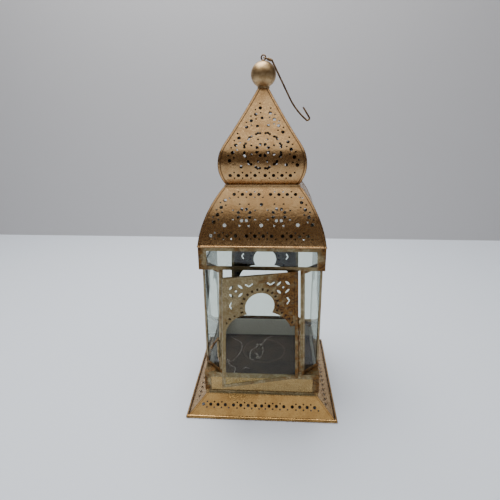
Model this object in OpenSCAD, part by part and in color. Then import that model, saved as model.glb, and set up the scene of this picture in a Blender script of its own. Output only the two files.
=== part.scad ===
// Moroccan metal candle lantern.  Square pierced sheet roof in two tiers, a glazed
// cornice, a glazed cage with cut corners and a hinged door, a plinth and a sloping
// pierced skirt.  Millimetres, +Z up, origin at the middle of the base on the table,
// front (the door) towards -Y.

/* [Base and plinth] */
// Width over the bottom hem of the skirt
base_w = 140; // [110:1:180]
// Width of the square column: plinth, cage and cornice
column_w = 107; // [84:1:116]
// Height of the top edge of the skirt
skirt_z = 15.4; // [10:0.2:20]
// Top surface of the floor plate that the candle stands on
floor_z = 17.8; // [17:0.2:24]
// Height of the top of the plinth
plinth_z = 39; // [34:0.5:50]

/* [Cage and cornice] */
// Top of the glazed cage, underside of the cornice
cage_z = 142.9; // [120:0.5:170]
// Half width of a wide face between the cut corners, at the bottom
face_low = 38; // [34:0.5:42]
// Half width of a wide face between the cut corners, at the top
face_high = 35; // [31:0.5:42]
// Top of the cornice
cornice_z = 162.4; // [155:0.5:195]
// Thickness of the window glass
glass_t = 1.5; // [1:0.1:2]

/* [Roof] */
// Half width of the neck between the two roof tiers
neck_w = 31; // [24:0.5:38]
// Height of the top edge of the lower tier
tier_low_z = 209.7; // [195:0.1:220]
// Radius of the curve of the lower tier
tier_low_r = 88; // [80:1:200]
// Radius of the belly of the upper tier
belly_r = 28.2; // [26.5:0.1:31]
// Slope of the roof where belly and spire meet, degrees from upright
spire_lean = 34.2; // [31.5:0.1:38]
// Height of the tip of the spire
tip_z = 288.2; // [270:0.5:300]
// Radius of the ball on top
ball_r = 10.7; // [7:0.1:13]

/* [Sheet, wire and motion] */
// Thickness of the tin sheet
sheet = 0.6; // [0.5:0.05:0.8]
// Width of the folded strips that hold the glass
came_w = 2.4; // [2:0.1:4]
// Diameter of the large punched holes
hole_big = 3; // [2.2:0.1:3.4]
// Diameter of the small punched holes
hole_small = 1.5; // [1:0.1:1.8]
// Spacing of the large holes in one punched group
pitch = 6.9; // [6:0.1:7.2]
// How far the door stands open, degrees
door_open = 14; // [0:1:90]
// Radius of the wire of the hanging hook
hook_wire = 0.75; // [0.6:0.05:0.9]

/* [Hidden] */
$fn = 32;
cw = column_w / 2;          // outer face of the raised strips
pw = cw - sheet;            // outer face of the plinth panels and cornice glass
gap = 0.05;                 // seam left between soldered neighbours
cage_0 = plinth_z + 0.5;    // bottom of the cage, on the corner plates
chamfer_low = (cw + face_low) / sqrt(2);
chamfer_high = (cw + face_high) / sqrt(2);
chamfer_h = norm([chamfer_low - chamfer_high, cage_z - cage_0]);
chamfer_tilt = atan((chamfer_low - chamfer_high) / (cage_z - cage_0));
half_low = (cw - face_low) / sqrt(2);
half_high = (cw - face_high) / sqrt(2);

// lower roof tier: one arc from the hem to the neck
low_0 = [cw - 0.1, cornice_z + 1.1];
low_1 = [neck_w + 1.5, tier_low_z];
low_c = arc_centre(low_0, low_1, tier_low_r);
low_a0 = arc_angle(low_c, low_0);
// upper roof tier: belly arc, then a slightly hollow spire
up_0 = [neck_w - 0.6, tier_low_z + 2];
up_c = [up_0[0] - 22.4, up_0[1] + 17.1];
up_1 = up_c + belly_r * [cos(spire_lean), sin(spire_lean)];
up_2 = [4.4, tip_z];
up_rise = atan2(up_1[0] - up_2[0], up_2[1] - up_1[1]);
spire_r = norm(up_2 - up_1) / 2 / sin(spire_lean - up_rise);
spire_c = up_1 + spire_r * [cos(spire_lean), sin(spire_lean)];
up_a0 = arc_angle(up_c, up_0);
belly_len = belly_r * (spire_lean - up_a0) * PI / 180;

seam_w = 1.9;               // the roof sheets lap at the corners in a raised seam
seam_h = 0.35;

ball_z = tip_z + 11.1;
eye_z = ball_z + ball_r + 2.3;
eye_r = 2;
eye_wire = 0.6;
hook_turn = -20;            // the hook hangs a little towards the front

// door opening between the front posts, and the hinge line along its right side
open_low = face_low - came_w + 0.2;
open_high = face_high - came_w + 0.2;
lean = atan((open_low - open_high) / (cage_z - cage_0));
hinge = [open_low - 0.95, -cw - 1.2, cage_0];
door_0 = plinth_z - 1.2;    // the door shuts over the edges of its opening
door_1 = cage_z - 0.3;
door_y = -cw - 2.7;         // front face of the door frame when shut
door_w = 3;                 // width of the door frame
latch = [-face_low - 1.2, -cw - 0.7, 57.4];

function arc_angle(c, p) = atan2(p[1] - c[1], p[0] - c[0]);
function arc_centre(p, q, r) =
    let (m = (p + q) / 2, d = (q - p) / norm(q - p), h = sqrt(r * r - pow(norm(q - p) / 2, 2)))
    m + h * [-d[1], d[0]];
// distance from the latch wire to the folded post behind it
function latch_reach(z) =
    (-latch[0] - latch[1] - cw - opening_at(z) - came_w + 0.2) / sqrt(2) - 0.26;
function opening_at(z) = open_low + (open_high - open_low) * (z - cage_0) / (cage_z - cage_0);

gold = [0.72, 0.56, 0.36];
tin = [0.50, 0.46, 0.38];
dark = [0.27, 0.24, 0.22];
clear = [0.80, 0.86, 0.84, 0.45];

// ---------------------------------------------------------------- shared shapes

// keeps the quarter of a square shell that faces -Y, cut at 45 degrees in plan
module front_quarter(reach, z0, z1)
    intersection() {
        children();
        translate([0, -gap, z0])
            linear_extrude(z1 - z0)
                polygon([[0, 0], [reach, -reach], [-reach, -reach]]);
    }

// lays a drawing of (distance from the axis, height) along the front side
module along_front(length)
    translate([-length / 2, 0, 0])
        rotate([90, 0, 90])
            mirror([1, 0, 0])
                linear_extrude(length)
                    children();

// a flat drawing of (x, z) as a sheet standing across -Y, its back at distance n
module upright(n, t)
    translate([0, -n, 0])
        rotate([90, 0, 0])
            linear_extrude(t)
                children();

module ring_rail(outer, wall, z0, z1)
    translate([0, 0, z0])
        linear_extrude(z1 - z0)
            difference() {
                square(2 * outer, center = true);
                square(2 * (outer - wall), center = true);
            }

module around(k)
    rotate([0, 0, 90 * k])
        children();

// one punched group: four large holes with small ones between and beside them
module stamp_holes(place_x = 0, upper = 3)
    for (i = [0:3]) {
        translate([place_x + (i - 1.5) * pitch, 0])
            circle(d = hole_big);
        translate([place_x + (i - 1) * pitch, -2.6])
            circle(d = hole_small);
        if (i < upper)
            translate([place_x + (i - 1) * pitch, 2.4])
                circle(d = hole_small);
    }

// ---------------------------------------------------------------- skirt

skirt_run = base_w / 2 - 1.5 - pw;
skirt_rise = skirt_z - 1.5;
skirt_len = norm([skirt_run, skirt_rise]);
skirt_lean = atan2(skirt_rise, skirt_run);
bead_n = base_w / 2 - 1.5;
bead_z = 1.35;              // the rolled hem is flattened a little where it stands

module skirt() color(gold)
    difference() {
        front_quarter(90, 0, 30)
            along_front(base_w + 10) {
                translate([bead_n, bead_z])
                    circle(1.5);
                polygon([
                    [bead_n, 1.5], [pw, skirt_z],
                    [pw, skirt_z - sheet / cos(skirt_lean)], [bead_n - 0.9, 1.5]
                ]);
            }
        translate([0, -bead_n, 1.5])
            rotate([skirt_lean, 0, 0])
                translate([0, 0.52 * skirt_len, -3])
                    linear_extrude(6)
                        for (x = [-44.4, -15.9, 10.6, 39.2])
                            stamp_holes(x);
    }

// ---------------------------------------------------------------- plinth and floor

module plinth_panel(half) color(gold)
    upright(pw - sheet, sheet)
        translate([-half, skirt_z - 0.5])
            square([2 * half, plinth_z - skirt_z + 0.5]);

module plinth_corner(k) color(tin)
    around(k)
        translate([0, 0, 20.2])
            linear_extrude(plinth_z - 4.6 - 20.2)
                difference() {
                    translate([cw - 6, -cw])
                        square(6);
                    translate([cw - 6 - 1, -pw])
                        square(7 - sheet);
                }

module low_rail(k) color(tin)
    around(k) {
        upright(pw, sheet)
            translate([-50, 16.6])
                square([100, 3.2]);
        along_front(100) {
            translate([cw, 18.9])
                circle(0.45);
            translate([cw, 17.2])
                circle(0.45);
        }
    }

module floor_plate() color(dark)
    translate([0, 0, floor_z - sheet])
        linear_extrude(sheet)
            square(2 * (pw - sheet - gap), center = true);

// a corner triangle outside a cut corner, reaching under the glass strips
module corner_triangle(k, half, z)
    around(k)
        translate([0, 0, z])
            linear_extrude(0.5)
                polygon([[pw, -pw], [pw, -half + 3.5], [half - 3.5, -pw]]);

// ---------------------------------------------------------------- cage

module chamfer_side(k)
    rotate([0, 0, 45 + 90 * k])
        translate([0, -chamfer_low, cage_0])
            rotate([-chamfer_tilt, 0, 0])
                children();

// post at the right end of the front face, its cut side on corner k
module post() color(tin) {
    upright(cw - sheet, sheet)
        polygon([
            [face_low, cage_0], [face_high, cage_z],
            [face_high - came_w + 0.2, cage_z], [face_low - came_w + 0.2, cage_0]
        ]);
    chamfer_side(0)
        translate([0, sheet, 0])
            rotate([90, 0, 0])
                linear_extrude(sheet)
                    polygon([
                        [-half_low, 0], [-half_high, chamfer_h],
                        [-half_high + came_w, chamfer_h], [-half_low + came_w, 0]
                    ]);
    post_fold();
}

// rounded fold where the two legs of a post meet
module post_fold()
    intersection() {
        translate([face_low - 0.2, -cw + 0.45, cage_0])
            rotate([0, -atan((face_low - face_high) / (cage_z - cage_0)), 0])
                translate([0, 0, -3])
                    cylinder(r = 0.7, h = cage_z - cage_0 + 6);
        translate([-cw, -cw - 5, cage_0])
            cube([2 * cw, 12, cage_z - cage_0]);
    }

module sill_strip(z0, h, half)
    upright(cw - sheet, sheet)
        translate([-half, z0])
            square([2 * half, h]);

module chamfer_strip(k, z0, h, half)
    chamfer_side(k)
        translate([0, sheet, 0])
            rotate([90, 0, 0])
                linear_extrude(sheet)
                    translate([-half, z0])
                        square([2 * half, h]);

module cage_sill() color(tin) {
    for (k = [1:3])
        around(k)
            sill_strip(cage_0, 3, face_low - came_w);
    for (k = [0:3])
        chamfer_strip(k, 0.3, 3, half_low - came_w - 0.1);
}

module cage_head() color(tin) {
    for (k = [1:3])
        around(k)
            sill_strip(cage_z - 3, 3, face_high - came_w);
    for (k = [0:3])
        chamfer_strip(k, chamfer_h - 3.3, 3, half_high - came_w - 0.4);
}

module side_glass() color(clear)
    upright(cw - sheet - glass_t - 0.5, glass_t)
        polygon([
            [-face_low + 1.6, cage_0], [face_low - 1.6, cage_0],
            [face_high - 1.6, cage_z - 0.1], [-face_high + 1.6, cage_z - 0.1]
        ]);

module corner_glass(k) color(clear)
    chamfer_side(k)
        translate([0, sheet + glass_t, 0])
            rotate([90, 0, 0])
                linear_extrude(glass_t)
                    polygon([
                        [-half_low + 1.4, 0.3], [half_low - 1.4, 0.3],
                        [half_high - 1.4, chamfer_h - 0.3], [-half_high + 1.4, chamfer_h - 0.3]
                    ]);

// ---------------------------------------------------------------- arch fretwork

arch_head_z = 114;
arch_head_r = 12.6;
arch_foot = 92.2;
// the two lower lobes: middle [x, z], radius, then first and last punch mark, degrees
even_lobes = [[-9, 86, 21, 26, 76], [9, 86, 21, 26, 76]];
// on the door the right lobe was cut flatter and lower than the left one
door_lobes = [[-10.5, 88.1, 19.8, 24, 78], [0.5, 80, 29.3, 30, 64]];

module almond(length, width)
    intersection_for (s = [-1, 1])
        translate([0, s * (pow(length, 2) - pow(width, 2)) / (4 * width)])
            circle((pow(length, 2) + pow(width, 2)) / (4 * width), $fn = 48);

module chevron() {
    for (s = [-1, 1])
        translate([0, -1.2])
            rotate(s > 0 ? 35 : 145)
                translate([0, -0.65])
                    square([3.9, 1.3]);
}

// the trefoil and the fretwork that are cut out of an arch plate
module arch_holes(lobes) {
    translate([0, arch_head_z])
        circle(arch_head_r, $fn = 64);
    for (lobe = lobes)
        translate([lobe[0], lobe[1]])
            circle(lobe[2], $fn = 64);
    translate([-9.5, arch_foot - 10])
        square([19, arch_head_z - arch_foot + 2]);
    for (s = [-1, 1]) {
        translate([s * 20.1, 130]) {
            circle(0.9);
            for (a = [45:90:315])
                rotate(a)
                    translate([5.2, 0])
                        rotate(90)
                            almond(5.4, 1.9);
        }
        translate([s * 9.2, 134.4])
            chevron();
        translate([s * 24.6, 117.2])
            rotate(s * 90)
                chevron();
    }
}

// small triangular punch marks that follow the edge of the arch
module arch_dents(lobes) {
    for (a = [-18:16.5:198])
        translate([0, arch_head_z])
            rotate(a)
                translate([arch_head_r + 3.3, 0])
                    circle(1, $fn = 3);
    for (lobe = lobes, a = [lobe[3]:240 / lobe[2]:lobe[4]])
        translate([lobe[0], lobe[1]])
            rotate(lobe[0] > 0 ? a : 180 - a)
                translate([lobe[2] + 3.1, 0])
                    circle(1, $fn = 3);
}

// arch plate with its face at distance `front`; the child is the sheet it is cut from
module arch_panel(front, lobes, middle = 0) color(tin)
    difference() {
        upright(front - 0.5, 0.5)
            difference() {
                intersection() {
                    children();
                    translate([-60, arch_foot])
                        square([120, 60]);
                }
                translate([middle, 0])
                    arch_holes(lobes);
            }
        upright(front - 0.25, 1)
            translate([middle, 0])
                arch_dents(lobes);
    }

module side_arch()
    arch_panel(cw - sheet, even_lobes)
        polygon([[-35.2, 91], [35.2, 91], [33.6, cage_z - 0.1], [-33.6, cage_z - 0.1]]);

// ---------------------------------------------------------------- cornice

module cornice_corner(k) color(tin)
    around(k)
        translate([0, 0, cage_z + 3.4])
            linear_extrude(cornice_z - cage_z - 6.2)
                difference() {
                    translate([cw - 7, -cw])
                        square(7);
                    translate([cw - 7 - 1, -pw])
                        square(8 - sheet);
                }

module cornice_rail(z0, z1) color(tin)
    ring_rail(cw, sheet, z0, z1);

module cornice_glass(half) color(clear)
    upright(pw - glass_t, glass_t)
        translate([-half, cage_z + 0.6])
            square([2 * half, cornice_z - cage_z - 0.7]);

// ---------------------------------------------------------------- lower roof

// moves drawings of (x, up) onto the lower tier, s measured up from its hem
module on_low(x, s)
    translate([x, -low_c[0], low_c[1]])
        rotate([-(low_a0 + s / tier_low_r * 180 / PI), 0, 0])
            translate([0, -tier_low_r, 0])
                rotate([90, 0, 0])
                    translate([0, 0, -2])
                        linear_extrude(4)
                            children();

module low_stamp(x, s, turn)
    for (i = [0:3]) {
        low_hole(x, s, turn, (i - 1.5) * pitch, 0, hole_big);
        low_hole(x, s, turn, (i - 1) * pitch, -2.6, hole_small);
        if (i < 3)
            low_hole(x, s, turn, (i - 1) * pitch, 2.5, hole_small);
    }

module low_hole(x, s, turn, u, v, d)
    on_low(x + u * cos(turn) - v * sin(turn), s + u * sin(turn) + v * cos(turn))
        circle(d = d);

// petal: a round punch drawn out to a point towards the middle of the flower
module petal() {
    translate([0.3, 0])
        circle(1.25);
    polygon([[-1.9, 0], [0.1, 1.24], [0.1, -1.24]]);
}

module low_flower(x, s)
    for (a = [22.5:45:360]) {
        on_low(x + 5 * cos(a), s + 5 * sin(a))
            rotate(a)
                petal();
        on_low(x + 9.9 * cos(a), s + 9.9 * sin(a))
            rotate(a)
                circle(1.25, $fn = 3);
    }

// keeps what lies within `width` of the two corner seams of a front side
module seam_zone(width)
    intersection() {
        children();
        linear_extrude(2 * tip_z)
            difference() {
                polygon([[0, 0], [90, -90], [-90, -90]]);
                translate([0, -width])
                    polygon([[0, 0], [90, -90], [-90, -90]]);
            }
    }

module ring(inner, outer, facets)
    difference() {
        circle(outer, $fn = facets);
        circle(inner, $fn = facets);
    }

module roof_low() color(gold)
    difference() {
        front_quarter(80, cornice_z - 2, tier_low_z) {
            seam_zone(seam_w)
                along_front(2 * cw + 20)
                    intersection() {
                        translate(low_c)
                            ring(tier_low_r - sheet / 2, tier_low_r + seam_h, 200);
                        translate([0, low_0[1] + 0.6])
                            square([80, tier_low_z - low_0[1] - 1.2]);
                    }
            along_front(2 * cw + 20) {
                intersection() {
                    translate(low_c)
                        ring(tier_low_r - sheet, tier_low_r, 200);
                    translate([0, low_0[1]])
                        square([80, 60]);
                }
                translate([low_0[0] - 0.2, low_0[1] - 0.1])
                    circle(0.85);
            }
        }
        for (x = [-13, 17.5])
            low_stamp(x, 44.7, 0);
        for (x = [-31.9, -2, 27.8])
            low_stamp(x, 9.3, 0);
        low_stamp(-35.3, 30, 64.5);
        low_stamp(37.2, 28.1, 115.5);
        low_flower(-14.6, 26.8);
        low_flower(14.2, 27);
        for (p = [[-0.4, 35.7], [-0.3, 18.1], [-30.8, 17.9], [29.7, 18.6]])
            on_low(p[0], p[1])
                circle(d = hole_big);
    }

// ---------------------------------------------------------------- upper roof

// the same for the upper tier, s measured up from the neck over belly and spire
module on_up(x, s)
    if (s < belly_len)
        translate([x, -up_c[0], up_c[1]])
            rotate([-(up_a0 + s / belly_r * 180 / PI), 0, 0])
                translate([0, -belly_r, 0])
                    punch()
                        children();
    else
        translate([x, -spire_c[0], spire_c[1]])
            rotate([-(spire_lean - (s - belly_len) / spire_r * 180 / PI), 0, 0])
                translate([0, spire_r, 0])
                    punch()
                        children();

module punch()
    rotate([90, 0, 0])
        translate([0, 0, -2])
            linear_extrude(4)
                children();

module up_stamp(x, s, turn)
    for (i = [0:3]) {
        up_hole(x, s, turn, (i - 1.5) * pitch, 0, hole_big);
        up_hole(x, s, turn, (i - 1) * pitch, turn > 90 ? -2.6 : 2.6, hole_small);
        if (i < 3)
            up_hole(x, s, turn, (i - 1) * pitch, turn > 90 ? 2.5 : -2.5, hole_small);
    }

module up_hole(x, s, turn, u, v, d)
    on_up(x + u * cos(turn) - v * sin(turn), s + u * sin(turn) + v * cos(turn))
        circle(d = d);

// ring of petals, diamonds and short curved slots
module up_rosette(x, s) {
    for (a = [22.5:45:360]) {
        on_up(x + 4.9 * cos(a), s + 4.9 * sin(a))
            rotate(a)
                petal();
        on_up(x + 10 * cos(a), s + 10 * sin(a))
            rotate(a)
                circle(1.15, $fn = 4);
    }
    for (a = [15:30:360])
        on_up(x + 15.3 * cos(a), s + 15.3 * sin(a))
            rotate(a)
                for (b = [-1, 0, 1])
                    translate([0.35 - 0.7 * abs(b), 1.75 * b])
                        circle(1.1);
}

// belly and spire drawn from `under` below their outer face to `over` above it
module up_profile(under, over, trim) {
    intersection() {
        translate(up_c)
            ring(belly_r - under, belly_r + over, 96);
        translate([up_c[0], up_0[1] + trim])
            square([60, up_1[1] - up_0[1] + 0.1 - trim]);
    }
    intersection() {
        translate(spire_c)
            ring(spire_r - over, spire_r + under, 360);
        translate([0, up_1[1]])
            square([60, tip_z - up_1[1] - trim]);
    }
}

module roof_up() color(gold)
    difference() {
        front_quarter(60, up_0[1] - 1, tip_z + 1) {
            along_front(80)
                up_profile(sheet, 0, 0);
            seam_zone(seam_w)
                along_front(80)
                    up_profile(sheet / 2, seam_h, 0.6);
        }
        for (x = [-16.2, 12.9])
            up_stamp(x, 9.2, 0);
        up_stamp(-7.7, 59.7, 58);
        up_stamp(11.4, 55, 121);
        up_stamp(-22.9, 31.3, 69);
        up_stamp(24.8, 27.6, 112);
        up_rosette(0.4, 30.4);
        for (p = [[-0.6, 59.3], [-4.2, 51.8], [4.8, 52.4], [-17.2, 16.6], [19.8, 18.2]])
            on_up(p[0], p[1])
                circle(d = hole_big * 0.9);
    }

// ---------------------------------------------------------------- ball, eye, hook

module ball() color(gold)
    difference() {
        union() {
            translate([0, 0, ball_z])
                sphere(ball_r, $fn = 64);
            translate([0, 0, tip_z + gap])
                cylinder(r = 5.2, h = 2.6);
        }
        translate([0, 0, ball_z + ball_r - 5])
            cylinder(r = 1.25, h = 10);
    }

module top_eye() color(dark) {
    translate([0, 0, ball_z + ball_r - 4.6])
        cylinder(r = 1.15, h = 4.9);
    rotate([0, 0, hook_turn])
        translate([0, 0, eye_z])
            rotate([90, 0, 0])
                rotate_extrude($fn = 48)
                    translate([eye_r, 0])
                        circle(eye_wire, $fn = 20);
}

// wire from p to q in the XZ plane
module rod(p, q, r)
    translate([p[0], 0, p[1]])
        rotate([0, 90 - atan2(q[1] - p[1], q[0] - p[0]), 0])
            cylinder(r = r, h = norm(q - p), $fn = 24);

module wire_arc(c, radius, a0, a1, r)
    translate([c[0], 0, c[1]])
        rotate([90, 0, 0])
            rotate_extrude(angle = a1 - a0, start = a0, $fn = 72)
                translate([radius, 0])
                    circle(r, $fn = 20);

hook_out = -18;             // direction in which the hook leaves the eye
hook_a = 8 * [cos(hook_out), sin(hook_out)];
hook_down = -61.5;
hook_b = hook_a + 33 * [cos(hook_down), sin(hook_down)];
hook_c = hook_b + 58 * [-sin(hook_down), cos(hook_down)];
hook_d = hook_c + 58 * [cos(-38 - 90), sin(-38 - 90)];
hook_e = hook_d + 1.6 * [-sin(-38), cos(-38)];
hook_f = hook_e + 1.6 * [cos(34), sin(34)];

module hook() color(dark)
    rotate([0, 0, hook_turn])
        translate([0, 0, eye_z]) {
            rotate([0, -hook_out, 0])
                translate([eye_r, 0, 0]) {
                    rotate_extrude($fn = 40)
                        translate([1.6, 0])
                            circle(eye_wire, $fn = 20);
                    for (i = [0:3])
                        translate([2.3 + 0.95 * i, 0, 0])
                            rotate([0, 90, 0])
                                rotate_extrude($fn = 32)
                                    translate([0.75, 0])
                                        circle(0.5, $fn = 16);
                    translate([1.6, 0, 0])
                        rotate([0, 90, 0])
                            cylinder(r = 0.8, h = 4.3);
                }
            rod(hook_a, hook_b + 0.6 * [cos(hook_down), sin(hook_down)], hook_wire);
            translate([hook_a[0], 0, hook_a[1]])
                sphere(0.95, $fn = 24);
            wire_arc(hook_c, 58, -90 + hook_down, -127.5, hook_wire - 0.02);
            wire_arc(hook_e, 1.6, -128, 34, hook_wire + 0.01);
            rod(hook_f - 0.3 * [cos(124), sin(124)], hook_f + 9.5 * [cos(124), sin(124)],
                hook_wire - 0.01);
        }

// ---------------------------------------------------------------- hinge and latch

module hinge_frame()
    translate(hinge)
        rotate([0, -lean, 0])
            children();

module tube(z0, h, outer, bore)
    translate([0, 0, z0])
        linear_extrude(h)
            difference() {
                circle(outer, $fn = 24);
                circle(bore, $fn = 24);
            }

// curled tube with a leaf soldered to the strip beside it
module knuckle(z0, h, side)
    difference() {
        union() {
            translate([0, 0, z0])
                cylinder(r = 1, h = h, $fn = 24);
            translate([side > 0 ? 0 : -1.7, side > 0 ? 0.74 : -0.2, z0])
                cube([side > 0 ? 2 : 1.7, 0.42, h]);
        }
        translate([0, 0, z0 - 1])
            cylinder(r = 0.65, h = h + 2, $fn = 24);
    }

module hinge_knuckles() color(tin)
    hinge_frame()
        for (z = [[0.6, 2.4], [20.5, 6], [54, 4.5]])
            knuckle(z[0], z[1], 1);

module hinge_pin() color(dark)
    hinge_frame() {
        translate([0, 0, 0.7])
            cylinder(r = 0.6, h = 58.3, $fn = 24);
        translate([0, 0, 59.4])
            sphere(0.85, $fn = 24);
    }

module latch_tube() color(tin)
    translate(latch)
        difference() {
            union() {
                cylinder(r = 1.3, h = 17, $fn = 24);
                for (z = [1, 14])
                    rotate([0, 0, 45])
                        translate([0, -0.5, z])
                            cube([latch_reach(latch[2] + z), 1, 2]);
            }
            translate([0, 0, -1])
                cylinder(r = 0.78, h = 19, $fn = 24);
        }

module latch_wire() color(dark)
    translate(latch) {
        translate([0, 0, -3.5])
            cylinder(r = 0.7, h = 22.6, $fn = 24);
        translate([0, 0, 19.1])
            sphere(0.95, $fn = 24);
        rotate([0, 0, 225])
            translate([0, 0, 19.1])
                rotate([0, 128, 0]) {
                    cylinder(r = 0.9, h = 9.8, $fn = 24);
                    translate([0, 0, 9.8])
                        sphere(1.45, $fn = 24);
                }
    }

// ---------------------------------------------------------------- door

// turns the shut door about the hinge line to where it stands
module hung()
    translate(hinge)
        rotate([0, -lean, 0])
            rotate([0, 0, door_open])
                rotate([0, lean, 0])
                    translate(-hinge)
                        children();

// outline of the shut door, drawn in by `in` on every side
module door_outline(in)
    polygon([
        [-opening_at(door_0) - 0.6 + in, door_0 + in], [opening_at(door_0) - 2.3 - in, door_0 + in],
        [opening_at(door_1) - 2.3 - in, door_1 - in], [-opening_at(door_1) - 0.6 + in, door_1 - in]
    ]);

module door_frame() color(tin)
    hung() {
        upright(-door_y - sheet, sheet)
            difference() {
                door_outline(0);
                door_outline(door_w);
            }
        upright(-door_y - 2.5, 2.5)
            difference() {
                door_outline(0);
                door_outline(0.5);
            }
        hinge_frame()
            for (z = [[3.4, 16.6], [47.5, 6]])
                knuckle(z[0], z[1], -1);
    }

module door_arch()
    hung()
        arch_panel(-door_y - sheet, door_lobes, -2.2)
            door_outline(0.6);

module door_glass() color(clear)
    hung()
        upright(-door_y - sheet - 0.5 - glass_t + 0.15, glass_t - 0.15)
            door_outline(0.6);

// ---------------------------------------------------------------- assembly

skirt();  // skirt_front
around(1) skirt();  // skirt_right
around(2) skirt();  // skirt_back
around(3) skirt();  // skirt_left
plinth_panel(pw);  // plinth_front
around(1) plinth_panel(pw - sheet);  // plinth_right
around(2) plinth_panel(pw);  // plinth_back
around(3) plinth_panel(pw - sheet);  // plinth_left
for (k = [0:3]) plinth_corner(k);  // plinth_strips
for (k = [0:3]) low_rail(k);  // plinth_low_rail
color(tin) ring_rail(cw, sheet, plinth_z - 4.4, cage_0);  // plinth_top_rail
floor_plate();
color(dark) for (k = [0:3]) corner_triangle(k, face_low, plinth_z);  // corner_plates
post();  // post_front_right
around(1) post();  // post_right_back
around(2) post();  // post_back_left
around(3) post();  // post_left_front
mirror([1, 0, 0]) post();  // post_front_left
around(3) mirror([1, 0, 0]) post();  // post_left_back
around(2) mirror([1, 0, 0]) post();  // post_back_right
around(1) mirror([1, 0, 0]) post();  // post_right_front
cage_sill();
cage_head();
around(1) side_glass();  // glass_right
around(2) side_glass();  // glass_back
around(3) side_glass();  // glass_left
corner_glass(0);  // glass_corner_fr
corner_glass(1);  // glass_corner_br
corner_glass(2);  // glass_corner_bl
corner_glass(3);  // glass_corner_fl
around(1) side_arch();  // arch_right
around(2) side_arch();  // arch_back
around(3) side_arch();  // arch_left
color(tin) for (k = [0:3]) corner_triangle(k, face_high, cage_z);  // soffit_plates
cornice_rail(cage_z, cage_z + 3.3);  // cornice_low_rail
cornice_rail(cornice_z - 2.7, cornice_z);  // cornice_top_rail
for (k = [0:3]) cornice_corner(k);  // cornice_strips
cornice_glass(pw);  // cornice_glass_front
around(1) cornice_glass(pw - glass_t - 0.1);  // cornice_glass_right
around(2) cornice_glass(pw);  // cornice_glass_back
around(3) cornice_glass(pw - glass_t - 0.1);  // cornice_glass_left
roof_low();  // roof_low_front
around(1) roof_low();  // roof_low_right
around(2) roof_low();  // roof_low_back
around(3) roof_low();  // roof_low_left
color(gold) ring_rail(neck_w + 0.9, 2.1, tier_low_z + 0.02, up_0[1] - 0.02);  // neck_band
roof_up();  // roof_up_front
around(1) roof_up();  // roof_up_right
around(2) roof_up();  // roof_up_back
around(3) roof_up();  // roof_up_left
ball();
top_eye();
hook();
hinge_knuckles();
hinge_pin();
latch_tube();
latch_wire();
door_frame();
door_arch();
door_glass();
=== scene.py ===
import math
import random

import bmesh
import bpy
from mathutils import Matrix, Vector


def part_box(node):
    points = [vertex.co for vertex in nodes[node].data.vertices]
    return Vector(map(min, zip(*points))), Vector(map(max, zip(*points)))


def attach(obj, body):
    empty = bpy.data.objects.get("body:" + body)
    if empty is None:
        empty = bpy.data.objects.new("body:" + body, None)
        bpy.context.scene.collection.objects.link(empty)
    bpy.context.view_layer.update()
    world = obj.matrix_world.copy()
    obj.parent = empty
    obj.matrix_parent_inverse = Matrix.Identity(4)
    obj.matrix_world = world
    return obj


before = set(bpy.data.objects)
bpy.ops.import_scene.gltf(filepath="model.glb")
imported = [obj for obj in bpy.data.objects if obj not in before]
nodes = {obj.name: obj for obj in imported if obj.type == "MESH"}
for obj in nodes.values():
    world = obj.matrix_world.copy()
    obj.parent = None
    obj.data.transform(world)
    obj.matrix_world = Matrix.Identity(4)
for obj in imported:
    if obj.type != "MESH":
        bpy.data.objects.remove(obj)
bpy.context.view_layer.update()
MM = 0.001


# ---------------------------------------------------------------- camera
# A short lens, held a little lower than the top of the roof in front of the
# door, tipped down and turned a few degrees towards the latch side.
LENS_PLACE = Vector((11.4, -367.1, 269.5)) * MM
LENS_TURN = math.radians(3.81)
LENS_TIP = math.radians(70.96)
LENS_ROLL = math.radians(-0.65)
LENS_LENGTH = 28.78
FILM_WIDTH = 36

lens = bpy.data.cameras.new("camera")
lens.lens = LENS_LENGTH
lens.sensor_width = FILM_WIDTH
lens.clip_start = 0.02
camera = bpy.data.objects.new("camera", lens)
camera.matrix_world = (
    Matrix.Translation(LENS_PLACE)
    @ Matrix.Rotation(LENS_TURN, 4, "Z")
    @ Matrix.Rotation(LENS_TIP, 4, "X")
    @ Matrix.Rotation(LENS_ROLL, 4, "Z")
)
bpy.context.scene.collection.objects.link(camera)
bpy.context.scene.camera = camera


# ---------------------------------------------------------------- table, wall and light
# A plain white table top that meets a plain grey wall half a metre behind the
# lantern. The room is dim at eye height and its ceiling bright, with one broad
# soft lamp overhead, so the metal shows dark and bright bands.
WALL_Y = 497.5
WALL_SKEW = math.radians(-0.72)
STAGE_REACH = 2500
CEILING_FROM = math.sin(math.radians(33))
CEILING_FULL = math.sin(math.radians(47))
DIM_ROOM = (0.13, 0.106, 0.09, 1)
BRIGHT_CEILING = (1.04, 1.06, 1.1, 1)


def tone(red, green, blue):
    """A colour given as it is seen, 0 to 255, for a shader."""
    parts = (c / 255 for c in (red, green, blue))
    return tuple(c / 12.92 if c <= 0.04045 else ((c + 0.055) / 1.055) ** 2.4 for c in parts) + (1,)


def finish_named(name, colour, roughness, metallic=0.0):
    """A material with one shader; returns it with its nodes to build on."""
    finish = bpy.data.materials.new(name)
    finish.use_nodes = True
    shader = finish.node_tree.nodes["Principled BSDF"]
    shader.inputs["Base Color"].default_value = colour
    shader.inputs["Roughness"].default_value = roughness
    shader.inputs["Metallic"].default_value = metallic
    return finish, finish.node_tree, shader


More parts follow.
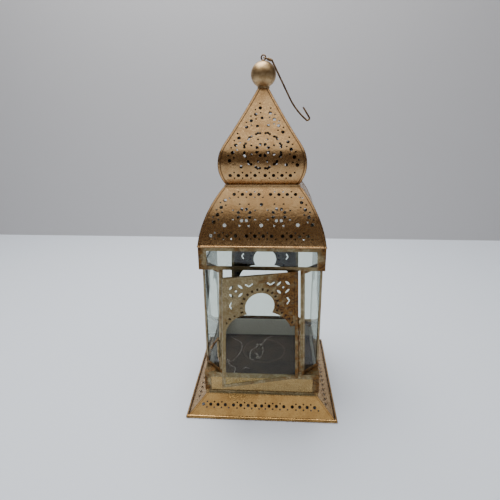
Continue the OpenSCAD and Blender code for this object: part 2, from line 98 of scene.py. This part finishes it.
def board(name, corners, colour, roughness):
    """A flat four-cornered stage piece."""
    mesh = bpy.data.meshes.new(name)
    mesh.from_pydata([Vector(c) * MM for c in corners], [], [(0, 1, 2, 3)])
    piece = bpy.data.objects.new(name, mesh)
    mesh.materials.append(finish_named(name, colour, roughness)[0])
    bpy.context.scene.collection.objects.link(piece)


def back_edge(x):
    """How far back the wall stands at x, since it isn't quite square to the table."""
    return WALL_Y + x * math.tan(WALL_SKEW)


back_left = (-STAGE_REACH, back_edge(-STAGE_REACH))
back_right = (STAGE_REACH, back_edge(STAGE_REACH))
board(
    "table_top",
    [(-STAGE_REACH, -STAGE_REACH, 0), (STAGE_REACH, -STAGE_REACH, 0), (*back_right, 0), (*back_left, 0)],
    tone(224, 230, 238), 0.5,
)
board(
    "wall",
    [(*back_left, 0), (*back_right, 0), (*back_right, STAGE_REACH), (*back_left, STAGE_REACH)],
    tone(193, 192, 193), 0.8,
)


def squeeze(tree, source, low, high, to_low=0.0, to_high=1.0):
    """Takes low..high of source to to_low..to_high."""
    ramp = tree.nodes.new("ShaderNodeMapRange")
    ramp.interpolation_type = "SMOOTHSTEP"
    ramp.inputs["From Min"].default_value = low
    ramp.inputs["From Max"].default_value = high
    ramp.inputs["To Min"].default_value = to_low
    ramp.inputs["To Max"].default_value = to_high
    tree.links.new(source, ramp.inputs["Value"])
    return ramp.outputs[0]


def stain(tree, under, over, where):
    """Colour over laid on colour under where the mask is high."""
    mix = tree.nodes.new("ShaderNodeMix")
    mix.data_type = "RGBA"
    for slot, value in ((mix.inputs[6], under), (mix.inputs[7], over)):
        if isinstance(value, tuple):
            slot.default_value = value
        else:
            tree.links.new(value, slot)
    tree.links.new(where, mix.inputs[0])
    return mix.outputs[2]


room = bpy.data.worlds.new("room")
bpy.context.scene.world = room
room.use_nodes = True
room_tree = room.node_tree
room_way = room_tree.nodes.new("ShaderNodeTexCoord")
room_parts = room_tree.nodes.new("ShaderNodeSeparateXYZ")
room_tree.links.new(room_way.outputs["Generated"], room_parts.inputs[0])
ceiling = squeeze(room_tree, room_parts.outputs["Z"], CEILING_FROM, CEILING_FULL)
room_tree.links.new(
    stain(room_tree, DIM_ROOM, BRIGHT_CEILING, ceiling),
    room_tree.nodes["Background"].inputs["Color"],
)


def soft_lamp(name, place, aim, width, watts):
    """A square lamp at place, facing the point aim."""
    light = bpy.data.lights.new(name, "AREA")
    light.shape = "SQUARE"
    light.size = width * MM
    light.energy = watts
    lamp = bpy.data.objects.new(name, light)
    lamp.location = Vector(place) * MM
    lamp.rotation_euler = (Vector(aim) - Vector(place)).to_track_quat("-Z", "Y").to_euler()
    bpy.context.scene.collection.objects.link(lamp)


soft_lamp("ceiling_lamp", (-150, 150, 1000), (0, 150, 0), 650, 11)


# ---------------------------------------------------------------- skirt
# Four sloping sheets of pierced tin with a rolled hem, soldered at the
# corners and painted antique gold over a fine hammered grain. The roof has the
# same paint, and the insides of both are black with soot.
SIDES = ("front", "right", "back", "left")
SOOT = tone(52, 38, 28)
GOLD_SPECK = tone(108, 74, 42)
GOLD_SEAM = tone(92, 58, 32)


def in_mm(tree):
    """The piece's own place in millimetres, as a socket."""
    place = tree.nodes.new("ShaderNodeTexCoord")
    scale = tree.nodes.new("ShaderNodeVectorMath")
    scale.operation = "SCALE"
    scale.inputs["Scale"].default_value = 1000
    tree.links.new(place.outputs["Object"], scale.inputs[0])
    return scale.outputs[0]


def raw_noise(tree, size, detail, seed):
    """Even noise of patches about size millimetres across."""
    noise = tree.nodes.new("ShaderNodeTexNoise")
    noise.noise_dimensions = "4D"
    noise.inputs["W"].default_value = seed
    noise.inputs["Scale"].default_value = 1 / size
    noise.inputs["Detail"].default_value = detail
    tree.links.new(in_mm(tree), noise.inputs["Vector"])
    return noise.outputs["Fac"]


def mottle(tree, size, detail=3.0, low=0.4, high=0.6, seed=0.0):
    """Soft patches about size millimetres across, 0 to 1, sharper as low and high close up."""
    return squeeze(tree, raw_noise(tree, size, detail, seed), low, high)


def sums(tree, operation, first, second):
    """Arithmetic on sockets or numbers."""
    node = tree.nodes.new("ShaderNodeMath")
    node.operation = operation
    for slot, value in zip(node.inputs, (first, second)):
        if isinstance(value, (int, float)):
            slot.default_value = value
        else:
            tree.links.new(value, slot)
    return node.outputs[0]


def dent(tree, shader, height, depth):
    """Lets height, 0 to 1, raise the surface by depth millimetres."""
    bump = tree.nodes.new("ShaderNodeBump")
    bump.inputs["Strength"].default_value = 1.0
    bump.inputs["Distance"].default_value = depth * MM
    tree.links.new(height, bump.inputs["Height"])
    tree.links.new(bump.outputs[0], shader.inputs["Normal"])


def corner_line(tree, distance, width):
    """1 on a line this far from the upright corner seams of the lantern, 0 farther off it than width."""
    parts = tree.nodes.new("ShaderNodeSeparateXYZ")
    tree.links.new(in_mm(tree), parts.inputs[0])
    across = sums(tree, "ABSOLUTE", parts.outputs["X"], 0)
    along = sums(tree, "ABSOLUTE", parts.outputs["Y"], 0)
    apart = sums(tree, "ABSOLUTE", sums(tree, "SUBTRACT", across, along), 0)
    return squeeze(tree, sums(tree, "ABSOLUTE", sums(tree, "SUBTRACT", apart, distance), 0), 0, width, 1, 0)


def inward(tree):
    """1 on faces that look in at the middle of the lantern, 0 on faces that look out."""
    place = tree.nodes.new("ShaderNodeTexCoord")
    flat = tree.nodes.new("ShaderNodeVectorMath")
    flat.operation = "MULTIPLY"
    flat.inputs[1].default_value = (1, 1, 0)
    tree.links.new(place.outputs["Object"], flat.inputs[0])
    facing = tree.nodes.new("ShaderNodeVectorMath")
    facing.operation = "DOT_PRODUCT"
    tree.links.new(flat.outputs[0], facing.inputs[0])
    tree.links.new(place.outputs["Normal"], facing.inputs[1])
    return squeeze(tree, facing.outputs["Value"], -0.004, -0.002, 1, 0)


def antique_gold(name, body, shade, roughness, grain, inside):
    """Gold paint: faint warm patches, fine dark grain, dark seams, and another colour inside."""
    finish, tree, shader = finish_named(name, body, roughness, 1.0)
    colour = stain(tree, body, shade, sums(tree, "MULTIPLY", mottle(tree, 9, 4, 0.35, 0.7), 0.5))
    fine = mottle(tree, 0.6, 2, 0.48, 0.72, 3.0)
    colour = stain(tree, colour, shade, sums(tree, "MULTIPLY", fine, grain))
    speck = mottle(tree, 1.0, 2, 0.66, 0.7, 11.0)
    colour = stain(tree, colour, GOLD_SPECK, sums(tree, "MULTIPLY", speck, grain * 0.7))
    seam = sums(tree, "MAXIMUM", corner_line(tree, 0, 0.9), corner_line(tree, 2.0, 0.55))
    colour = stain(tree, colour, GOLD_SEAM, sums(tree, "MULTIPLY", seam, 0.75))
    within = inward(tree)
    tree.links.new(squeeze(tree, within, 0, 1, 1, 0), shader.inputs["Metallic"])
    tree.links.new(stain(tree, colour, inside, within), shader.inputs["Base Color"])
    rough = squeeze(tree, mottle(tree, 1.6, 3, 0.3, 0.7, 5.0), 0, 1, roughness - 0.05, roughness + 0.07)
    tree.links.new(rough, shader.inputs["Roughness"])
    dent(tree, shader, mottle(tree, 2.0, 4, 0.2, 0.8, 7.0), 0.07)
    return finish


def dress(finish, *names):
    """Gives CAD nodes a finish."""
    for name in names:
        for slot in nodes[name].material_slots:
            slot.link = "OBJECT"
            slot.material = finish


skirt_gold = antique_gold("skirt_gold", tone(176, 140, 86), tone(138, 100, 54), 0.26, 0.7, SOOT)
dress(skirt_gold, *(f"skirt_{side}" for side in SIDES))


# ---------------------------------------------------------------- plinth
# A low box of smooth gilt sheet, framed by plain tin strips and rails that
# hold its edges. The strips are bare tin gone brassy, with rust in spots.
# Inside, the box is bare tin with its colour pushed to near white: partly the pale tin, partly painted light
# for the light that falls in through the glass.
BARE_TIN_WITH_PAINTED_LIGHT = tone(245, 245, 238)
plain_gold = antique_gold("plain_gold", tone(176, 148, 100), tone(146, 116, 70), 0.27, 0.15, BARE_TIN_WITH_PAINTED_LIGHT)
dress(plain_gold, *(f"plinth_{side}" for side in SIDES))


def place_of(tree, letter):
    """One part, X, Y or Z, of the piece's own place in millimetres."""
    parts = tree.nodes.new("ShaderNodeSeparateXYZ")
    tree.links.new(in_mm(tree), parts.inputs[0])
    return parts.outputs[letter]


def aged_tin(name, rust_share, seed=0.0, rust_map=None):
    """Tin gone brassy with fine wear; brown rust grows with rust_share and where rust_map says."""
    finish, tree, shader = finish_named(name, tone(140, 126, 98), 0.36, 1.0)
    colour = stain(tree, tone(152, 140, 110), tone(124, 108, 76), mottle(tree, 1.2, 4, 0.36, 0.64, seed + 1))
    worn = sums(tree, "MULTIPLY", mottle(tree, 7, 3, 0.4, 0.6, seed + 6), 0.6)
    colour = stain(tree, colour, tone(112, 94, 62), worn)
    grown = sums(tree, "ADD", raw_noise(tree, 5, 6, seed + 2), rust_share)
    if rust_map:
        grown = sums(tree, "ADD", grown, rust_map(tree))
    crust = squeeze(tree, grown, 0.58, 0.88)
    freckle = mottle(tree, 0.7, 2, 0.63, 0.7, seed + 3)
    rust = sums(tree, "MAXIMUM", crust, sums(tree, "MULTIPLY", freckle, 0.75))
    brown = stain(tree, tone(130, 90, 38), tone(82, 54, 27), mottle(tree, 1.4, 3, 0.42, 0.62, seed + 5))
    colour = stain(tree, colour, brown, rust)
    tree.links.new(colour, shader.inputs["Base Color"])
    tree.links.new(squeeze(tree, rust, 0, 1, 0.3, 0.6), shader.inputs["Roughness"])
    tree.links.new(squeeze(tree, rust, 0, 1, 1, 0.6), shader.inputs["Metallic"])
    dent(tree, shader, mottle(tree, 0.8, 3, 0.3, 0.8, seed + 4), 0.04)
    return finish


def rust_at_corners(tree):
    """Rust and old flux along the four upright corners."""
    return sums(tree, "MULTIPLY", corner_line(tree, 0, 9), 0.26)


tin_strip = aged_tin("tin_strip", 0.06, 0.0, rust_at_corners)
dress(tin_strip, "plinth_strips", "plinth_low_rail", "plinth_top_rail")


# ---------------------------------------------------------------- floor plate
# The candle stands on a plain sheet of dull, dark brown tin.
# A pale ring round the candle's place is a painted highlight for a pressed bead that is not modelled, and
# spilt wax has left pale trails.
BEAD_RING_PLACE = (0, 18.7)
BEAD_RING_RADIUS = 22.7
FLOOR_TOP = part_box("floor_plate")[1][2] / MM
WAX_LIFT = 0.02
WAX_RISE = 0.45
CURVE_STEPS = 8
BEAD_POINTS = 7
dark_tin, tree, shader = finish_named("dark_tin", tone(66, 54, 48), 0.42, 0.5)
colour = stain(tree, tone(74, 60, 53), tone(54, 43, 38), mottle(tree, 16, 4, 0.35, 0.65))
dust = sums(tree, "MULTIPLY", mottle(tree, 0.6, 2, 0.66, 0.74, 2.0), 0.4)
colour = stain(tree, colour, tone(140, 130, 122), dust)
# painted highlight: a pale ring where the pressed bead in the plate would catch the light
from_middle = tree.nodes.new("ShaderNodeVectorMath")
from_middle.operation = "DISTANCE"
from_middle.inputs[1].default_value = (*BEAD_RING_PLACE, FLOOR_TOP)
tree.links.new(in_mm(tree), from_middle.inputs[0])
off_ring = sums(tree, "ABSOLUTE", sums(tree, "SUBTRACT", from_middle.outputs["Value"], BEAD_RING_RADIUS), 0)
ring = sums(tree, "MULTIPLY", squeeze(tree, off_ring, 0.3, 1.1, 1, 0), 0.45)
colour = stain(tree, colour, tone(112, 98, 90), ring)
tree.links.new(colour, shader.inputs["Base Color"])
dent(tree, shader, mottle(tree, 6, 2, 0.2, 0.8, 4.0), 0.008)
dress(dark_tin, "floor_plate")


def wax_trail(mesh, path, width):
    """A low rounded bead of wax along path on the floor plate, uneven in width."""
    path = [Vector(p) for p in path]
    run = []
    for k in range(len(path) - 1):
        before, start = path[max(k - 1, 0)], path[k]
        end, after = path[k + 1], path[min(k + 2, len(path) - 1)]
        for part in range(CURVE_STEPS):
            t = part / CURVE_STEPS
            run.append(0.5 * (
                2 * start + (end - before) * t
                + (2 * before - 5 * start + 4 * end - after) * t ** 2
                + (3 * start - before - 3 * end + after) * t ** 3
            ))
    run.append(path[-1])
    rings = []
    for k, middle in enumerate(run):
        way = (run[min(k + 1, len(run) - 1)] - run[max(k - 1, 0)]).normalized()
        side = Vector((-way.y, way.x))
        half = width * random.uniform(0.25, 0.65) * (0.3 if k in (0, len(run) - 1) else 1)
        ring = []
        for part in range(BEAD_POINTS):
            turn = math.pi * part / (BEAD_POINTS - 1)
            point = middle + side * half * math.cos(turn)
            height = FLOOR_TOP + WAX_LIFT + WAX_RISE * half * math.sin(turn)
            ring.append(mesh.verts.new(Vector((*point, height)) * MM))
        rings.append(ring)
    for first, second in zip(rings, rings[1:]):
        for k in range(BEAD_POINTS):
            after = (k + 1) % BEAD_POINTS
            mesh.faces.new((first[k], first[after], second[after], second[k]))
    mesh.faces.new(rings[0][::-1])
    mesh.faces.new(rings[-1])


# each trail: its width, then the points it runs through
WAX_TRAILS = (
    (
        1.2,
        ((9, 50), (4, 45), (1, 40), (-2, 33), (-7, 28), (-10, 23), (-14, 18), (-15, 10), (-14, 2), (-10, 0)),
    ),
    (1.2, ((-5, 2), (-2, 9), (-1, 18), (-2, 26))),
    (3.0, ((-10, 13), (-7, 10), (-6, 5), (-8, 3))),
    (3.4, ((-9, 29), (-5, 30), (-3, 28))),
    (0.9, ((-40, 46), (-34, 40), (-27, 34), (-25, 24), (-26, 14), (-30, 3), (-34, -4), (-38, -1))),
    (1.1, ((-39, 0), (-35, -10), (-29, -15), (-29, -24), (-27, -27))),
    (1.2, ((-21, -16), (-17, -14), (-14, -16))),
)
random.seed(4)
wax_mesh = bmesh.new()
for width, path in WAX_TRAILS:
    wax_trail(wax_mesh, path, width)
bmesh.ops.recalc_face_normals(wax_mesh, faces=wax_mesh.faces)
wax_data = bpy.data.meshes.new("wax_trails")
wax_mesh.to_mesh(wax_data)
wax_data.polygons.foreach_set("use_smooth", [True] * len(wax_data.polygons))
wax_trails = bpy.data.objects.new("wax_trails", wax_data)
bpy.context.scene.collection.objects.link(wax_trails)
wax, tree, shader = finish_named("wax", tone(130, 124, 118), 0.4)
colour = stain(tree, tone(150, 144, 136), tone(92, 82, 76), mottle(tree, 2, 3, 0.4, 0.6, 41.0))
tree.links.new(colour, shader.inputs["Base Color"])
wax_data.materials.append(wax)
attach(wax_trails, "lantern")


# ---------------------------------------------------------------- plates over the cut corners
# Small three-cornered tin plates close the cut corners under the cage and
# over it. They are soldered all round and given far more brown than the other tin.
brown_plate_tin = aged_tin("brown_plate_tin", 0.24, 9.0)
dress(brown_plate_tin, "corner_plates", "soffit_plates")


# ---------------------------------------------------------------- cage
# Eight folded tin strips stand between the corner plates and the cornice, in
# pairs that grip the cut-corner panes. Thin strips close the top and bottom.
CAGE_FOOT = 40
CAGE_HEAD = 144
SOLDER_REACH = 12
POSTS = (
    "front_left", "front_right", "right_front", "right_back",
    "back_right", "back_left", "left_back", "left_front",
)


def rust_at_ends(tree):
    """Rust by the solder at the foot and head of the cage."""
    height = place_of(tree, "Z")
    foot = squeeze(tree, height, CAGE_FOOT, CAGE_FOOT + SOLDER_REACH, 0.22, 0)
    head = squeeze(tree, height, CAGE_HEAD - SOLDER_REACH, CAGE_HEAD, 0, 0.2)
    return sums(tree, "MAXIMUM", foot, head)


tin_post = aged_tin("tin_post", 0.1, 14.0, rust_at_ends)
dress(tin_post, "cage_sill", "cage_head", *(f"post_{place}" for place in POSTS))


# ---------------------------------------------------------------- glass
# Plain window glass, cut by hand and slid into the folded strips. It is a
# little green and dusty, with specks of solder and dirt.
CLEAR = tone(232, 238, 232)
DIRT = tone(70, 66, 60)


def window_glass(name, bend, panes):
    """Dresses panes in clear glass with dirt specks; bend sets how strongly it mirrors the room."""
    finish, tree, shader = finish_named(name, CLEAR, 0.02)
    shader.inputs["Transmission Weight"].default_value = 1.0
    shader.inputs["IOR"].default_value = bend
    specks = mottle(tree, 0.55, 1, 0.72, 0.76, 6.0)
    tree.links.new(stain(tree, CLEAR, DIRT, specks), shader.inputs["Base Color"])
    dress(finish, *panes)
    for pane in panes:
        nodes[pane].visible_shadow = False


corner_panes = [f"glass_corner_{corner}" for corner in ("fl", "fr", "br", "bl")]
window_glass("cage_glass", 1.2, ["glass_left", "glass_right", "glass_back", "door_glass", *corner_panes])
window_glass("cornice_glass", 1.45, [f"cornice_glass_{side}" for side in SIDES])


# ---------------------------------------------------------------- arches
# Plates of pierced tin behind the glass, cut to a round head on two lobes. A
# row of small punch marks follows the edge, dark with old dirt.
MARK_BROWN = tone(46, 32, 20)
HEAD_STARTS = (107.5, 108.5)
LOBES_START = (11, 12)
# the head: height of its middle, radius, first mark and step in degrees
DENT_HEAD = (114, 15.9, -18, 16.5)
# each lobe: its middle across and up, radius, first mark and step in degrees
EVEN_LOBES = ((9, 86, 24.1, 26, 11.4), (-9, 86, 24.1, 26, 11.4))


def dent_ring(tree, spot, across, up, middle, radius, first, step):
    """Dark punch marks on a circle, step degrees apart."""
    length = tree.nodes.new("ShaderNodeVectorMath")
    length.operation = "DISTANCE"
    length.inputs[1].default_value = (*middle, 0)
    tree.links.new(spot, length.inputs[0])
    off = sums(tree, "ABSOLUTE", sums(tree, "SUBTRACT", length.outputs["Value"], radius), 0)
    turn = sums(
        tree, "ARCTAN2",
        sums(tree, "SUBTRACT", up, middle[1]), sums(tree, "SUBTRACT", across, middle[0]),
    )
    beside = sums(
        tree, "PINGPONG", sums(tree, "SUBTRACT", turn, math.radians(first)), math.radians(step) / 2,
    )
    along = sums(tree, "MULTIPLY", beside, radius)
    return sums(
        tree, "MULTIPLY", squeeze(tree, off, 0.9, 1.4, 1, 0), squeeze(tree, along, 0.65, 1.15, 1, 0),
    )


def punch_marks(finish, across_of, lobes):
    """Lays the dark marks round the head and the two lobes of an arch over a tin finish."""
    tree = finish.node_tree
    shader = tree.nodes["Principled BSDF"]
    up = place_of(tree, "Z")
    across = across_of(tree)
    spot = tree.nodes.new("ShaderNodeCombineXYZ")
    tree.links.new(across, spot.inputs["X"])
    tree.links.new(up, spot.inputs["Y"])
    head_z, head_radius, head_first, head_step = DENT_HEAD
    head = dent_ring(tree, spot.outputs[0], across, up, (0, head_z), head_radius, head_first, head_step)
    marks = sums(tree, "MULTIPLY", head, squeeze(tree, up, *HEAD_STARTS))
    for middle_x, middle_z, radius, first, step in lobes:
        out = sums(tree, "MULTIPLY", across, 1 if middle_x > 0 else -1)
        first = first if middle_x > 0 else 180 - first
        lobe = dent_ring(tree, spot.outputs[0], across, up, (middle_x, middle_z), radius, first, step)
        below = sums(
            tree, "MULTIPLY", squeeze(tree, up, *HEAD_STARTS, 1, 0), squeeze(tree, out, *LOBES_START),
        )
        marks = sums(tree, "MAXIMUM", marks, sums(tree, "MULTIPLY", lobe, below))
    plain = shader.inputs["Base Color"].links[0].from_socket
    marked = stain(tree, plain, MARK_BROWN, sums(tree, "MULTIPLY", marks, 0.95))
    tree.links.new(marked, shader.inputs["Base Color"])


def across_side(tree):
    """Place along a side arch, counted from its middle either way."""
    far_x = sums(tree, "ABSOLUTE", place_of(tree, "X"), 0)
    far_y = sums(tree, "ABSOLUTE", place_of(tree, "Y"), 0)
    return sums(tree, "MINIMUM", far_x, far_y)


tin_arch = aged_tin("tin_arch", 0.06, 20.0)
punch_marks(tin_arch, across_side, EVEN_LOBES)
dress(tin_arch, "arch_left", "arch_right", "arch_back")


# ---------------------------------------------------------------- door
# A frame of folded tin strip round its own pane and arch plate, on a wire pin
# at the right. Rust spreads from the hinge over both.
HINGE_X, HINGE_Y = 34.85, -54.7
DOOR_AJAR = math.radians(14)
DOOR_MIDDLE = -2.2
DOOR_LOBES = ((-10.5, 88.1, 22.9, 24, 12.1), (0.5, 80, 32.4, 30, 8.2))


def rust_by_hinge(tree):
    """Rust from the hinge inwards, worst at the top of the door."""
    across = squeeze(tree, place_of(tree, "X"), -10, 30, 0, 0.36)
    low = squeeze(tree, place_of(tree, "Z"), 60, 118, 0.35, 1)
    stile = squeeze(tree, place_of(tree, "X"), 29.5, 31.5, 0, 0.2)
    return sums(tree, "MAXIMUM", sums(tree, "MULTIPLY", across, low), stile)


def across_door(tree):
    """Place along the door arch, counted from the middle of its opening."""
    from_hinge_x = sums(tree, "SUBTRACT", place_of(tree, "X"), HINGE_X)
    from_hinge_y = sums(tree, "SUBTRACT", place_of(tree, "Y"), HINGE_Y)
    along_x = sums(tree, "MULTIPLY", from_hinge_x, math.cos(DOOR_AJAR))
    along_y = sums(tree, "MULTIPLY", from_hinge_y, math.sin(DOOR_AJAR))
    return sums(tree, "ADD", sums(tree, "ADD", along_x, along_y), HINGE_X - DOOR_MIDDLE)


door_tin = aged_tin("door_tin", 0.05, 24.0, rust_by_hinge)
dress(door_tin, "door_frame")
door_arch_tin = aged_tin("door_arch_tin", 0.05, 24.0, rust_by_hinge)
punch_marks(door_arch_tin, across_door, DOOR_LOBES)
dress(door_arch_tin, "door_arch")


# ---------------------------------------------------------------- cornice
# Two tin rails and four corner angles hold the glass strips under the roof.
# The small tubes of the hinge and the latch are of the same tin.
cornice_tin = aged_tin("cornice_tin", 0.1, 60.0, rust_at_corners)
dress(cornice_tin, "cornice_low_rail", "cornice_top_rail", "cornice_strips", "hinge_knuckles", "latch_tube")


# ---------------------------------------------------------------- roof
# Two tiers of curved pierced sheets with a band between them, lapped at the
# corners. The gold is warmer and smoother than on the skirt, sooty inside.
roof_gold = antique_gold("roof_gold", tone(190, 154, 108), tone(156, 114, 70), 0.23, 0.32, SOOT)
dress(
    roof_gold, "neck_band", *(f"roof_low_{side}" for side in SIDES),
    *(f"roof_up_{side}" for side in SIDES),
)


# ---------------------------------------------------------------- ball
# A gilt ball closes the point of the roof. Its gold is duller than the roof's,
# rubbed thin by handling.
ball_gold, tree, shader = finish_named("ball_gold", tone(178, 150, 110), 0.42, 1.0)
colour = stain(tree, tone(182, 154, 114), tone(150, 122, 84), mottle(tree, 4, 4, 0.4, 0.65, 51.0))
tree.links.new(colour, shader.inputs["Base Color"])
dent(tree, shader, mottle(tree, 0.5, 2, 0.35, 0.7, 52.0), 0.02)
dress(ball_gold, "ball")


# ---------------------------------------------------------------- eye, hook, pin and latch
# All bent by hand from drawn wire: the eye on the ball, the long hook that
# swings from it, the pin of the hinge and the latch. Brassy, brown in patches.
old_wire, tree, shader = finish_named("old_wire", tone(142, 118, 88), 0.36, 1.0)
colour = stain(tree, tone(150, 124, 92), tone(98, 72, 48), mottle(tree, 3, 4, 0.4, 0.62, 31.0))
tree.links.new(colour, shader.inputs["Base Color"])
dent(tree, shader, mottle(tree, 0.6, 2, 0.4, 0.7, 32.0), 0.03)
dress(old_wire, "top_eye", "hook", "hinge_pin", "latch_wire")
